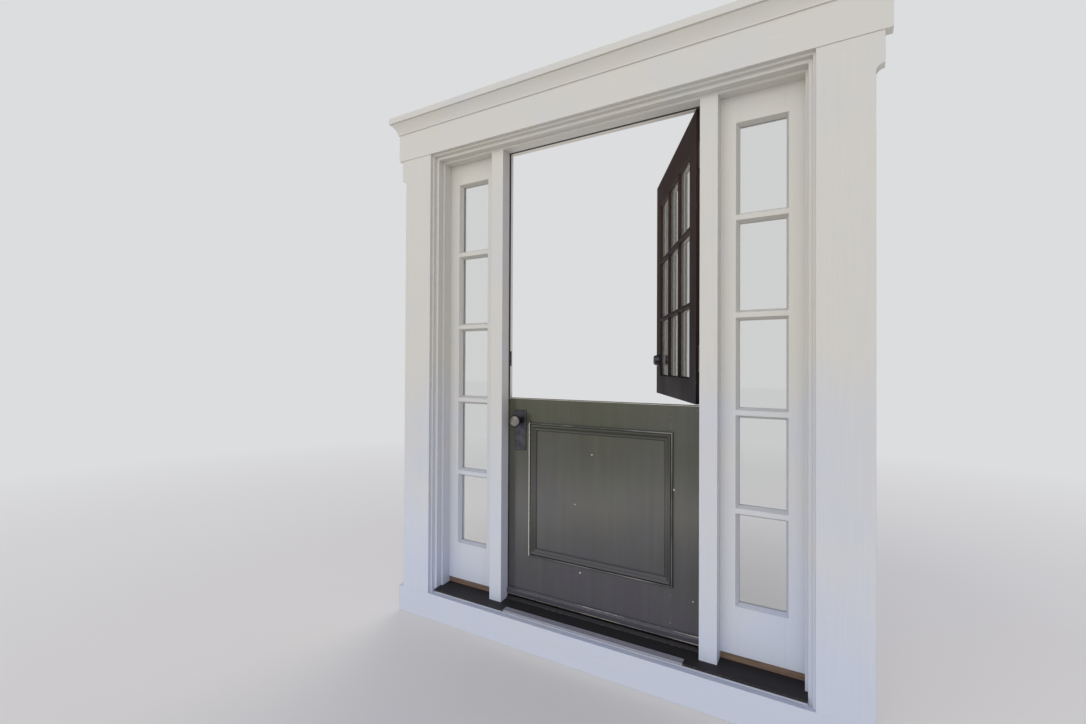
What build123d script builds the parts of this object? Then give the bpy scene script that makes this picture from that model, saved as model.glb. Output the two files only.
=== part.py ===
from build123d import *
import os
from math import atan2, degrees, radians, tan

# Stable door in its frame: two leaves, one above the other, between sidelights.
# Millimetres. X runs along the wall as seen from outside, Y into the house, Z up.
# The origin is on the floor, on the doorway's centre line, mid-way through the riser board.

# Leaves
leaf_width = 914.4
leaf_thickness = 44.5
leaf_gap = 3.0
split_height = 1080.0
open_angle = 62.2

# Doorway
doorway_height = 2229.0
stop_lip = 12.0
stop_depth = 54.0
seal_space = 4.0
seal_slack = 0.3
strip_inset = 2.0

# Surround
post_width = 65.0
sidelight_width = 286.4
trim_thickness = 38.0
face_depth = 65.0
fascia_strip = 11.0
inner_strip = 14.5
outer_strip = 9.5
inner_strip_depth = 33.0
outer_strip_depth = 14.6
strip_round = 2.5
pilaster_width = 164.0
riser_height = 123.0
riser_reach = 30.0
capital_height = 101.0
capital_cove = 24.0
frieze_height = 134.0
frieze_reach = 21.0
frieze_proud = 3.0
crown_height = 80.0
crown_reach = 38.0
crown_fascia = 28.0
crown_quirk = 8.0
crown_foot_bead = 5.0

# Sill
sill_setback = 17.0
sill_lip = 11.0
nose_height = 8.0
sill_slope = 5.0
threshold_rise = 37.0
threshold_ramp = 12.0
nosing_width = 26.0
nosing_thickness = 2.0
nosing_leg = 6.0
nosing_end = 48.0
lip_setback = 8.0
rib_count = 5
rib_radius = 1.0
bearer_foot = 60.0

# Upper leaf
upper_stile = 118.0
upper_top_rail = 140.0
upper_bottom_rail = 104.0
upper_bar = 28.0
upper_columns = 3
upper_rows = 3

# Lower leaf
lower_stile = 134.0
lower_top_rail = 118.0
lower_bottom_rail = 203.0
panel_thickness = 24.0
panel_recess = 8.0
moulding_width = 37.0
moulding_lap = 10.0
moulding_proud = 9.0
moulding_bead = 7.0
moulding_quirk = 3.0
quirk_proud = 1.5
swell_proud = 6.0
foot_quirk = 3.5
inner_moulding_width = 18.0
inner_moulding_edge = 3.0
drip_height = 30.0
drip_proud = 12.0
drip_slope = 8.0
bottom_gap = 13.0
sweep_thickness = 9.0
sweep_clearance = 0.5

# Sidelights
lite_width = 157.0
lite_count = 5
sash_bar = 38.9
sash_top_rail = 110.0
sash_bottom_rail = 185.9
sash_foot = 178.0
sash_depth = 47.0
foot_setback = 6.0

# Glazing
glass_thickness = 5.0
glass_rabbet = 6.0
glass_slack = 1.0
bead_depth = 15.0
bead_splay = 3.0
leaf_glass_inset = 12.0
leaf_bevel = 7.0
sash_glass_inset = 25.0
sash_bevel = 10.0

# Hinges
hinge_height = 102.0
hinge_plate = 2.5
hinge_plate_width = 34.0
hinge_set_in = 180.0
barrel_radius = 6.5
barrel_clearance = 0.5
pin_radius = 3.0
pin_head_radius = 5.0
pin_head_height = 4.0
running_clearance = 0.05
knuckle_count = 3
knuckle_gap = 0.3

# Knobs, plates and latch of the lower leaf
knob_backset = 76.2
knob_drop = 101.0
knob_radius = 30.0
knob_projection = 57.0
knob_collar = 16.0
knob_collar_height = 5.0
knob_neck = 11.0
knob_neck_place = 22.0
knob_back_place = 38.0
knob_back_radius = 15.0
knob_rim_depth = 10.0
knob_rim_width = 6.0
knob_rim_chamfer = 3.0
knob_dome = 3.0
spindle_radius = 6.0
spindle_bore = 9.0
plate_width = 60.0
plate_height = 183.0
plate_above_knob = 47.0
plate_thickness = 5.0
plate_chamfer = 1.5
loose_clearance = 0.3
case_height = 92.0
case_thickness = 18.0
case_end = 24.0
faceplate_width = 25.0
faceplate_height = 130.0
faceplate_thickness = 2.5
latch_height = 16.0
latch_thickness = 12.0
latch_length = 62.0
latch_bevel = 9.0
latch_throw = 12.0
nose_recess = 0.5
strike_height = 70.0
strike_width = 30.0
strike_thickness = 2.0
pocket_slack = 2.0

# Deadbolt of the upper leaf
deadbolt_rise = 182.0
deadbolt_backset = 70.0
deadbolt_radius = 8.0
deadbolt_length = 52.0
deadbolt_throw = 25.0
barrel_wall = 4.0
deadbolt_faceplate = 57.0
collar_radius = 31.0
collar_nose_radius = 25.0
collar_base = 5.0
collar_chamfer = 2.0
collar_projection = 26.0
cylinder_radius = 12.0
cylinder_recess = 3.0
rose_thickness = 12.0
turn_shaft = 5.0
turn_height = 44.0
turn_thickness = 9.0
turn_projection = 20.0

# Bolt that joins the leaves
bolt_backset = 150.0
bolt_radius = 6.0
bolt_stand_off = 12.0
bolt_length = 110.0
bolt_throw = 24.0
bolt_lift = 4.0
bolt_plate_width = 44.0
bolt_plate_height = 84.0
bolt_plate_thickness = 3.0
guide_height = 12.0
guide_wall = 5.0
peg_radius = 4.0
peg_length = 20.0
keeper_height = 34.0
keeper_drop = 3.0
keeper_slack = 0.5

# Places worked out from the sizes above, from outside to inside
trim_front = -trim_thickness / 2
wall_face = trim_thickness / 2
face_plane = trim_front + face_depth
stop_back = face_plane + stop_depth
leaf_face = stop_back + seal_space
leaf_back = leaf_face + leaf_thickness
leaf_middle = (leaf_face + leaf_back) / 2
sash_face = face_plane + sash_depth
sash_back = sash_face + leaf_thickness
frieze_front = trim_front - frieze_proud
nose_front = trim_front + sill_setback

# From the doorway's centre line outwards
leaf_half = leaf_width / 2
rabbet_half = leaf_half + leaf_gap
doorway_half = rabbet_half - stop_lip
post_outer = doorway_half + post_width
sidelight_outer = post_outer + sidelight_width
strips_inner = sidelight_outer + fascia_strip
strips_middle = strips_inner + inner_strip
trim_inner = strips_middle + outer_strip
pilaster_outer = trim_inner + pilaster_width
capital_outer = pilaster_outer + capital_cove
frieze_half = capital_outer + frieze_reach
riser_half = pilaster_outer + riser_reach

# From the floor upwards
nose_foot = riser_height + sill_lip
nose_top = nose_foot + nose_height
threshold_top = riser_height + threshold_rise
lower_bottom = threshold_top + bottom_gap
upper_bottom = split_height + leaf_gap
knob_height = split_height - knob_drop
deadbolt_height = upper_bottom + deadbolt_rise
head_rabbet = doorway_height + stop_lip
upper_top = head_rabbet - leaf_gap
head_top = doorway_height + fascia_strip + inner_strip + outer_strip
capital_foot = head_top - capital_height
cove_foot = capital_foot - capital_cove
crown_foot = head_top + frieze_height
crown_top = crown_foot + crown_height

# Hinge line
hinge_x = leaf_half + leaf_gap / 2
hinge_y = leaf_back + barrel_radius + barrel_clearance
hinge_axis = Axis((hinge_x, hinge_y, 0), (0, 0, 1))

os.makedirs("parts", exist_ok=True)
pieces = {}


def box(x_range, y_range, z_range):
    """A rectangular block between two limits along each axis."""
    limits = (x_range, y_range, z_range)
    middle = tuple((low + high) / 2 for low, high in limits)
    with BuildPart() as block:
        with Locations(middle):
            Box(*[high - low for low, high in limits])
    return block.part


def less(whole, *tools):
    """A piece with the given shapes cut out of it."""
    with BuildPart() as rest:
        add(whole)
        for tool in tools:
            add(tool, mode=Mode.SUBTRACT)
    return rest.part


def joined(*shapes):
    """Shapes that make one body."""
    with BuildPart() as union:
        for shape in shapes:
            add(shape)
    return union.part


def keep_between(whole, x_range, z_range):
    """The stretch of a framed piece between two limits across and two up."""
    with BuildPart() as stretch:
        add(whole)
        add(box(x_range, (face_plane, leaf_back), z_range), mode=Mode.INTERSECT)
    return stretch.part


def mirrored(shape):
    """The same piece on the other side of the doorway."""
    return shape.mirror(Plane.YZ)


def placed(shape, x, y, z):
    """A copy moved to a place."""
    return shape.moved(Location((x, y, z)))


def across_wall(y):
    """A plane along the wall at one depth, facing outside, with Z up."""
    return Plane.XZ.offset(-y)


def along_x(points, half_length):
    """A Y-Z outline drawn out to both sides of the centre line."""
    with BuildPart() as length:
        with BuildSketch(Plane.YZ.offset(-half_length)):
            with BuildLine():
                Polyline(*points, close=True)
            make_face()
        extrude(amount=2 * half_length)
    return length.part


def rod(radius, x, y_range, z):
    """A round bar through the wall's thickness."""
    with BuildPart() as bar:
        with BuildSketch(across_wall(y_range[0])):
            with Locations((x, z)):
                Circle(radius)
        extrude(amount=y_range[0] - y_range[1])
    return bar.part


def bar_along_x(radius, x_range, y, z):
    """A round bar along the wall."""
    with BuildPart() as bar:
        with BuildSketch(Plane.YZ.offset(x_range[0])):
            with Locations((y, z)):
                Circle(radius)
        extrude(amount=x_range[1] - x_range[0])
    return bar.part


def post(radius, x, y, z_range):
    """A round upright."""
    with BuildPart() as bar:
        with BuildSketch(Plane.XY.offset(z_range[0])):
            with Locations((x, y)):
                Circle(radius)
        extrude(amount=z_range[1] - z_range[0])
    return bar.part


# Sill, with the slope that throws water off
def sill_height(y):
    """Height of the sill's slope at a depth."""
    return nose_top + (y - nose_front) * tan(radians(sill_slope))


sill_back = sill_height(leaf_back)
slope_line = [(nose_front, nose_top), (leaf_back, sill_back)]
under_sill = along_x(slope_line + [(leaf_back, 0), (nose_front, 0)], strips_inner)
pieces["sill"] = along_x(slope_line + [(leaf_back, nose_foot), (nose_front, nose_foot)], strips_inner)

# Threshold on the sill, between the posts, that the lower leaf closes over
ramp_foot = stop_back - threshold_ramp
ramp_line = [
    (ramp_foot, sill_height(ramp_foot)),
    (stop_back, threshold_top),
    (leaf_back, threshold_top),
    (leaf_back, sill_back),
]
rabbet_line = [(stop_back, sill_height(stop_back))] + ramp_line[1:]
pieces["threshold"] = joined(along_x(ramp_line, doorway_half), along_x(rabbet_line, rabbet_half))

lip_line = [
    (nose_front + lip_setback, nose_foot),
    (leaf_back, nose_foot),
    (leaf_back, bearer_foot),
    (wall_face, bearer_foot),
    (wall_face, riser_height),
    (nose_front + lip_setback, riser_height),
]
pieces["sub_sill"] = along_x(lip_line, strips_inner)

# Ribbed metal nosing on the sill's front edge, across the doorway
nosing_half = doorway_half - nosing_end
nosing_back = nose_front + nosing_width
rib_depths = [nose_front + (i + 0.5) * nosing_width / rib_count for i in range(rib_count)]
with BuildPart() as sill_nosing:
    with BuildSketch(Plane.YZ.offset(-nosing_half)):
        with BuildLine():
            Polyline(
                (nose_front, nose_top),
                (nosing_back, sill_height(nosing_back)),
                (nosing_back, sill_height(nosing_back) + nosing_thickness),
                (nose_front - nosing_thickness, nose_top + nosing_thickness),
                (nose_front - nosing_thickness, nose_top - nosing_leg),
                (nose_front, nose_top - nosing_leg),
                close=True,
            )
        make_face()
        with Locations(*[(y, sill_height(y) + nosing_thickness) for y in rib_depths]):
            Circle(rib_radius)
    extrude(amount=2 * nosing_half)
pieces["sill_nosing"] = sill_nosing.part

# Riser board below the sill
pieces["riser_board"] = box((-riser_half, riser_half), (trim_front, wall_face), (0, riser_height))

# Pilasters, each one board with a cove that widens its head
with BuildPart() as pilaster:
    with BuildSketch(across_wall(trim_front)):
        with BuildLine():
            side = Polyline(
                (trim_inner, riser_height), (pilaster_outer, riser_height), (pilaster_outer, cove_foot)
            )
            cove = RadiusArc(side @ 1, (capital_outer, capital_foot), capital_cove)
            Polyline(cove @ 1, (capital_outer, head_top), (trim_inner, head_top), side @ 0)
        make_face()
    extrude(amount=-trim_thickness)
pieces["pilaster_left"] = mirrored(pilaster.part)
pieces["pilaster_right"] = pilaster.part

# Frieze, and the crown moulding that returns to the wall at both ends
pieces["frieze"] = box((-frieze_half, frieze_half), (frieze_front, wall_face), (head_top, crown_top))

crown_start = Plane(
    origin=(-frieze_half, wall_face, crown_foot), x_dir=(-1, 0, 0), z_dir=(0, 1, 0)
)
with BuildPart() as crown:
    with BuildLine() as crown_path:
        Polyline(
            (-frieze_half, wall_face, crown_foot),
            (-frieze_half, frieze_front, crown_foot),
            (frieze_half, frieze_front, crown_foot),
            (frieze_half, wall_face, crown_foot),
        )
    with BuildSketch(crown_start):
        with BuildLine():
            bead = Polyline((0, 0), (crown_foot_bead, 0), (crown_foot_bead, crown_foot_bead))
            inset = crown_reach - crown_quirk
            shelf = crown_height - crown_fascia
            cove = RadiusArc(bead @ 1, (inset, shelf - crown_foot_bead), 2 * shelf)
            Polyline(
                cove @ 1,
                (inset, shelf),
                (crown_reach, shelf),
                (crown_reach, crown_height),
                (0, crown_height),
                (0, 0),
            )
        make_face()
    sweep(path=crown_path.line, transition=Transition.RIGHT)
pieces["crown"] = crown.part

# Stepped casing round the whole opening, mitred at its two corners
inner_strip_front = trim_front + inner_strip_depth
outer_strip_front = trim_front + outer_strip_depth
fascia_top = doorway_height + fascia_strip
casing_steps = [
    (0, face_plane),
    (0, inner_strip_front),
    (inner_strip, inner_strip_front),
    (inner_strip, outer_strip_front),
    (inner_strip + outer_strip, outer_strip_front),
    (inner_strip + outer_strip, face_plane),
]
mitre_right = Plane(origin=(strips_inner, 0, fascia_top), x_dir=(0, 1, 0), z_dir=(-1, 0, 1))
mitre_left = Plane(origin=(-strips_inner, 0, fascia_top), x_dir=(0, 1, 0), z_dir=(1, 0, 1))


def casing_length(plane, corners, length):
    """A straight length of casing, its two front edges rounded."""
    showing = [Vector(*corners[1]), Vector(*corners[3])]
    with BuildPart() as straight:
        with BuildSketch(plane) as section:
            with BuildLine():
                Polyline(*corners, close=True)
            make_face()
            fillet([v for v in section.vertices() if Vector(v.X, v.Y) in showing], radius=strip_round)
        extrude(amount=length)
    return straight.part


side_corners = [(strips_inner + place, depth) for place, depth in casing_steps]
head_corners = [(depth, fascia_top + place) for place, depth in casing_steps]
with BuildPart() as casing_side:
    add(casing_length(Plane.XY.offset(riser_height), side_corners, head_top - riser_height))
    split(bisect_by=mitre_right, keep=Keep.BOTTOM)
pieces["casing_left"] = mirrored(casing_side.part)
pieces["casing_right"] = casing_side.part

with BuildPart() as casing_head:
    add(casing_length(Plane.YZ.offset(-trim_inner), head_corners, 2 * trim_inner))
    split(bisect_by=mitre_right, keep=Keep.TOP)
    split(bisect_by=mitre_left, keep=Keep.TOP)
pieces["casing_head"] = casing_head.part

# Jambs at the two sides and the head, rabbeted over the doorway for the leaves
outer_jamb = less(
    box((sidelight_outer, trim_inner), (face_plane, leaf_back), (bearer_foot, doorway_height)),
    under_sill,
)
pieces["outer_jamb_left"] = mirrored(outer_jamb)
pieces["outer_jamb_right"] = outer_jamb
pieces["head_jamb"] = less(
    box((-trim_inner, trim_inner), (face_plane, leaf_back), (doorway_height, head_top)),
    box((-rabbet_half, rabbet_half), (stop_back, leaf_back), (doorway_height, head_rabbet)),
)

# Posts between the doorway and the sidelights, with mortises for hinges and bolts
lower_hinges = (lower_bottom + hinge_set_in, split_height - hinge_set_in)
upper_hinges = (upper_bottom + hinge_set_in, upper_top - hinge_set_in)
hinge_depths = (leaf_back - hinge_plate_width, leaf_back)


def hinge_mortises(x_range, heights):
    """Recesses for hinge plates at the given heights."""
    half = hinge_height / 2
    return [box(x_range, hinge_depths, (z - half, z + half)) for z in heights]


frame_plate_x = (rabbet_half, rabbet_half + hinge_plate)
leaf_plate_x = (leaf_half - hinge_plate, leaf_half)
plain_post = less(
    box((doorway_half, post_outer), (face_plane, leaf_back), (riser_height, doorway_height)),
    box((doorway_half, rabbet_half), (stop_back, leaf_back), (riser_height, doorway_height)),
    under_sill,
)
pieces["post_right"] = less(plain_post, *hinge_mortises(frame_plate_x, lower_hinges + upper_hinges))

strike_back = -rabbet_half - strike_thickness


def strike_plate(z):
    """The plate's block, let in flush with the rabbet."""
    return box(
        (strike_back, -rabbet_half),
        (leaf_middle - strike_width / 2, leaf_middle + strike_width / 2),
        (z - strike_height / 2, z + strike_height / 2),
    )


latch_half_y = latch_thickness / 2
latch_half_z = latch_height / 2
latch_pocket = box(
    (-leaf_half - latch_throw - pocket_slack, -rabbet_half),
    (leaf_middle - latch_half_y - pocket_slack, leaf_middle + latch_half_y + pocket_slack),
    (knob_height - latch_half_z - pocket_slack, knob_height + latch_half_z + pocket_slack),
)
deadbolt_pocket = bar_along_x(
    deadbolt_radius + pocket_slack,
    (-leaf_half - deadbolt_throw - pocket_slack, -rabbet_half),
    leaf_middle,
    deadbolt_height,
)
strikes = [strike_plate(knob_height), strike_plate(deadbolt_height)]
pieces["post_left"] = less(mirrored(plain_post), latch_pocket, deadbolt_pocket, *strikes)
pieces["strike_plates"] = Compound([less(strikes[0], latch_pocket), less(strikes[1], deadbolt_pocket)])

# Weatherstrip in the rabbet, on the face that the leaves close on
strip_depths = (stop_back, leaf_face - seal_slack)
side_strip = box(
    (doorway_half + strip_inset, rabbet_half - strip_inset), strip_depths, (threshold_top, doorway_height)
)
head_strip = box(
    (-doorway_half, doorway_half),
    strip_depths,
    (doorway_height + strip_inset, head_rabbet - strip_inset),
)
pieces["weatherstrips"] = Compound([side_strip, mirrored(side_strip), head_strip])


# Glazed frames: splayed openings outside, square rabbets for the panes inside
def glazed_frame(whole, front, glass_front, back, places, width, height, splay):
    """Cuts the openings for panes into a solid board."""
    depth = glass_front - front
    with BuildPart() as framed:
        add(whole)
        with BuildSketch(across_wall(glass_front)):
            with Locations(*places):
                Rectangle(width, height)
        extrude(amount=depth, taper=-degrees(atan2(splay, depth)), mode=Mode.SUBTRACT)
        with BuildSketch(across_wall(glass_front)):
            with Locations(*places):
                Rectangle(width + 2 * glass_rabbet, height + 2 * glass_rabbet)
        extrude(amount=glass_front - back, mode=Mode.SUBTRACT)
    return framed.part


def panes(glass_front, places, width, height):
    """The glass, one pane to each opening."""
    edge = glass_rabbet - glass_slack
    pane = box(
        (-width / 2 - edge, width / 2 + edge),
        (glass_front, glass_front + glass_thickness),
        (-height / 2 - edge, height / 2 + edge),
    )
    return Compound([placed(pane, x, 0, z) for x, z in places])


def beads(glass_front, places, width, height):
    """The rings of bead that hold the panes from inside."""
    start = glass_front + glass_thickness
    with BuildPart() as ring:
        with BuildSketch(across_wall(start)):
            Rectangle(width + 2 * glass_rabbet, height + 2 * glass_rabbet)
        extrude(amount=-bead_depth)
        with BuildSketch(across_wall(start + bead_depth)):
            Rectangle(width + 2 * bead_splay, height + 2 * bead_splay)
        extrude(amount=bead_depth, taper=degrees(atan2(bead_splay, bead_depth)), mode=Mode.SUBTRACT)
    return Compound([placed(ring.part, x, 0, z) for x, z in places])


# Sidelights, each a fixed sash of five panes on a bare wooden strip
sidelight_x = (post_outer + sidelight_outer) / 2
lite_top = doorway_height - sash_top_rail
lite_bottom = sash_foot + sash_bottom_rail
lite_height = (lite_top - lite_bottom - (lite_count - 1) * sash_bar) / lite_count
lite_pitch = lite_height + sash_bar
lite_places = [(sidelight_x, lite_top - lite_height / 2 - i * lite_pitch) for i in range(lite_count)]
lite_sides = (sidelight_x - lite_width / 2, sidelight_x + lite_width / 2)
sash_glass = sash_face + sash_glass_inset
sash = glazed_frame(
    box((post_outer, sidelight_outer), (sash_face, sash_back), (sash_foot, doorway_height)),
    sash_face,
    sash_glass,
    sash_back,
    lite_places,
    lite_width,
    lite_height,
    sash_bevel,
)
sash_stiles = [
    keep_between(sash, (post_outer, lite_sides[0]), (sash_foot, doorway_height)),
    keep_between(sash, (lite_sides[1], sidelight_outer), (sash_foot, doorway_height)),
]
sash_rails = [
    keep_between(sash, lite_sides, (sash_foot, lite_bottom)),
    keep_between(sash, lite_sides, (lite_top, doorway_height)),
]
for i in range(1, lite_count):
    bar_top = lite_top - i * lite_pitch + sash_bar
    sash_rails.append(keep_between(sash, lite_sides, (bar_top - sash_bar, bar_top)))
sill_strip = less(
    box((post_outer, sidelight_outer), (sash_face + foot_setback, sash_back), (riser_height, sash_foot)),
    under_sill,
)
sidelight = {
    "sidelight_stiles": Compound(sash_stiles),
    "sidelight_rails": Compound(sash_rails),
    "sidelight_glass": panes(sash_glass, lite_places, lite_width, lite_height),
    "sidelight_beads": beads(sash_glass, lite_places, lite_width, lite_height),
}
for name, shape in sidelight.items():
    pieces[name + "_left"] = mirrored(shape)
    pieces[name + "_right"] = shape
pieces["sidelight_sill_strips"] = Compound([sill_strip, mirrored(sill_strip)])

# Hinges: plates let in flush, knuckles shared between frame and leaf
knuckle_height = (hinge_height - (knuckle_count - 1) * knuckle_gap) / knuckle_count


def hinge_half(plate_x, first_knuckle):
    """One plate with every second knuckle, at height zero."""
    foot = -hinge_height / 2
    shapes = [box(plate_x, hinge_depths, (foot, -foot))]
    for i in range(first_knuckle, knuckle_count, 2):
        start = foot + i * (knuckle_height + knuckle_gap)
        rise = (start, start + knuckle_height)
        shapes.append(box(plate_x, (leaf_back, hinge_y), rise))
        shapes.append(post(barrel_radius, hinge_x, hinge_y, rise))
    bore = post(pin_radius + running_clearance, hinge_x, hinge_y, (foot, -foot))
    return less(joined(*shapes), bore)


frame_half = hinge_half(frame_plate_x, 0)
leaf_half_hinge = hinge_half(leaf_plate_x, 1)
pin = joined(
    post(pin_radius, hinge_x, hinge_y, (-hinge_height / 2, hinge_height / 2)),
    post(pin_head_radius, hinge_x, hinge_y, (hinge_height / 2, hinge_height / 2 + pin_head_height)),
)
all_hinges = lower_hinges + upper_hinges
pieces["frame_hinge_leaves"] = Compound([placed(frame_half, 0, 0, z) for z in all_hinges])
pieces["hinge_pins"] = Compound([placed(pin, 0, 0, z) for z in all_hinges])
pieces["lower_hinge_leaves"] = Compound([placed(leaf_half_hinge, 0, 0, z) for z in lower_hinges])

# Lower leaf: stiles, rails and one recessed panel
leaf_depths = (leaf_face, leaf_back)
lower_heights = (lower_bottom, split_height)
lower_inner = leaf_half - lower_stile
panel_bottom = lower_bottom + lower_bottom_rail
panel_top = split_height - lower_top_rail
pieces["lower_hinge_stile"] = less(
    box((lower_inner, leaf_half), leaf_depths, lower_heights),
    *hinge_mortises(leaf_plate_x, lower_hinges),
)
pieces["lower_top_rail"] = box((-lower_inner, lower_inner), leaf_depths, (panel_top, split_height))
pieces["lower_bottom_rail"] = box((-lower_inner, lower_inner), leaf_depths, (lower_bottom, panel_bottom))
panel_face = leaf_face + panel_recess
panel_back = panel_face + panel_thickness
pieces["lower_panel"] = box((-lower_inner, lower_inner), (panel_face, panel_back), (panel_bottom, panel_top))


def rect_path(half_width, bottom, top, y):
    """A closed rectangle along the wall, for a moulding to follow."""
    with BuildLine() as path:
        Polyline(
            (-half_width, y, (bottom + top) / 2),
            (-half_width, y, top),
            (half_width, y, top),
            (half_width, y, bottom),
            (-half_width, y, bottom),
            close=True,
        )
    return path.line


# Raised moulding round the panel outside, and a smaller one inside
ring_half = lower_inner + moulding_lap
ring_bottom = panel_bottom - moulding_lap
ring_top = panel_top + moulding_lap
ring_middle = (ring_bottom + ring_top) / 2
moulding_start = Plane(origin=(-ring_half, leaf_face, ring_middle), x_dir=(1, 0, 0), z_dir=(0, 0, 1))
bead_base = moulding_bead / 2 - moulding_proud
swell_start = moulding_bead + moulding_quirk
slope_end = moulding_width - foot_quirk
with BuildPart() as outer_moulding:
    with BuildSketch(moulding_start):
        with BuildLine():
            edge = Polyline((moulding_lap, 0), (0, 0), (0, bead_base))
            bead = ThreePointArc(edge @ 1, (moulding_bead / 2, -moulding_proud), (moulding_bead, bead_base))
            quirk = Polyline(
                bead @ 1,
                (moulding_bead, -quirk_proud),
                (swell_start, -quirk_proud),
                (swell_start, -swell_proud),
            )
            swell = RadiusArc(quirk @ 1, ((swell_start + slope_end) / 2, 0), -moulding_lap * 1.6)
            hollow = RadiusArc(swell @ 1, (slope_end, foot_quirk), moulding_lap * 1.8)
            Polyline(
                hollow @ 1,
                (slope_end, panel_recess - quirk_proud),
                (moulding_width, panel_recess),
                (moulding_lap, panel_recess),
                (moulding_lap, 0),
            )
        make_face()
    sweep(path=rect_path(ring_half, ring_bottom, ring_top, leaf_face), transition=Transition.RIGHT)

inner_start = Plane(
    origin=(-lower_inner, panel_back, (panel_bottom + panel_top) / 2), x_dir=(1, 0, 0), z_dir=(0, 0, 1)
)
with BuildPart() as inner_moulding:
    with BuildSketch(inner_start):
        with BuildLine():
            sides = Polyline(
                (inner_moulding_width, inner_moulding_edge),
                (inner_moulding_width, 0),
                (0, 0),
                (0, leaf_back - panel_back),
                (inner_moulding_edge, leaf_back - panel_back),
            )
            RadiusArc(sides @ 1, sides @ 0, -inner_moulding_width)
        make_face()
    sweep(path=rect_path(lower_inner, panel_bottom, panel_top, panel_back), transition=Transition.RIGHT)
pieces["panel_mouldings"] = Compound([outer_moulding.part, inner_moulding.part])

# Drip strip and rubber sweep at the foot
drip_half = doorway_half - pocket_slack
drip_line = [
    (leaf_face, lower_bottom),
    (leaf_face, lower_bottom + drip_height),
    (leaf_face - drip_proud + drip_slope, lower_bottom + drip_height),
    (leaf_face - drip_proud, lower_bottom + drip_height - drip_slope),
    (leaf_face - drip_proud, lower_bottom),
]
pieces["drip_strip"] = along_x(drip_line, drip_half)
pieces["door_sweep"] = box(
    (-leaf_half, leaf_half),
    (leaf_middle - sweep_thickness / 2, leaf_middle + sweep_thickness / 2),
    (threshold_top + sweep_clearance, lower_bottom),
)


# Mortised lock parts, made as blocks that are cut out of the stile and then hollowed
def faceplate(z, height):
    """A plate let into the leaf's free edge."""
    return box(
        (-leaf_half, -leaf_half + faceplate_thickness),
        (leaf_middle - faceplate_width / 2, leaf_middle + faceplate_width / 2),
        (z - height / 2, z + height / 2),
    )


knob_x = -leaf_half + knob_backset
case_block = joined(
    faceplate(knob_height, faceplate_height),
    box(
        (-leaf_half + faceplate_thickness, knob_x + case_end),
        (leaf_middle - case_thickness / 2, leaf_middle + case_thickness / 2),
        (knob_height - case_height / 2, knob_height + case_height / 2),
    ),
)
spindle_hole = rod(spindle_bore, knob_x, leaf_depths, knob_height)
pieces["lower_latch_stile"] = less(
    box((-leaf_half, -lower_inner), leaf_depths, lower_heights), case_block, spindle_hole
)
latch_tip = -leaf_half + nose_recess
latch_end = latch_tip + latch_length
latch_channel = box(
    (-leaf_half, latch_end + loose_clearance),
    (leaf_middle - latch_half_y - loose_clearance, leaf_middle + latch_half_y + loose_clearance),
    (knob_height - latch_half_z - loose_clearance, knob_height + latch_half_z + loose_clearance),
)
pieces["latch_case"] = less(case_block, latch_channel, spindle_hole)
latch_line = [
    (latch_tip, leaf_middle + latch_half_y),
    (latch_end, leaf_middle + latch_half_y),
    (latch_end, leaf_middle - latch_half_y),
    (latch_tip + latch_bevel, leaf_middle - latch_half_y),
]
with BuildPart() as latch_bolt:
    with BuildSketch(Plane.XY.offset(knob_height - latch_half_z)):
        with BuildLine():
            Polyline(*latch_line, close=True)
        make_face()
    extrude(amount=latch_height)
pieces["latch_bolt"] = latch_bolt.part

# Knobs on their plates, on both faces of the lower leaf
plate_top = knob_height + plate_above_knob
with BuildPart() as knob_plate:
    with BuildSketch(across_wall(leaf_face)):
        with Locations((knob_x, plate_top - plate_height / 2)):
            Rectangle(plate_width, plate_height)
    extrude(amount=plate_thickness)
    chamfer(faces().sort_by(Axis.Y)[0].edges(), length=plate_chamfer)
    with BuildSketch(across_wall(leaf_face)):
        with Locations((knob_x, knob_height)):
            Circle(spindle_radius + running_clearance)
    extrude(amount=plate_thickness, mode=Mode.SUBTRACT)
plate_inside = knob_plate.part.mirror(Plane.XZ.offset(-leaf_middle))
pieces["knob_plates"] = Compound([knob_plate.part, plate_inside])

knob_base = plate_thickness + loose_clearance
rim_front = knob_dome - knob_projection
knob_line = [
    (0, -knob_base),
    (knob_collar, -knob_base),
    (knob_collar, -knob_base - knob_collar_height),
    (knob_neck, -knob_neck_place),
    (knob_back_radius, -knob_back_place),
    (knob_radius, knob_rim_depth - knob_projection),
    (knob_radius, rim_front + knob_rim_chamfer),
    (knob_radius - knob_rim_chamfer, rim_front),
    (knob_radius - knob_rim_width, rim_front),
    (0, -knob_projection),
]
with BuildPart() as knob:
    with BuildSketch(Plane.XY):
        with BuildLine():
            Polyline(*knob_line, close=True)
        make_face()
    revolve(axis=Axis.Y)
outer_knob = placed(knob.part, knob_x, leaf_face, knob_height)
inner_knob = placed(knob.part.mirror(Plane.XZ), knob_x, leaf_back, knob_height)
pieces["knobs"] = Compound([outer_knob, inner_knob])
pieces["knob_spindle"] = rod(
    spindle_radius, knob_x, (leaf_face - knob_base, leaf_back + knob_base), knob_height
)

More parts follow.
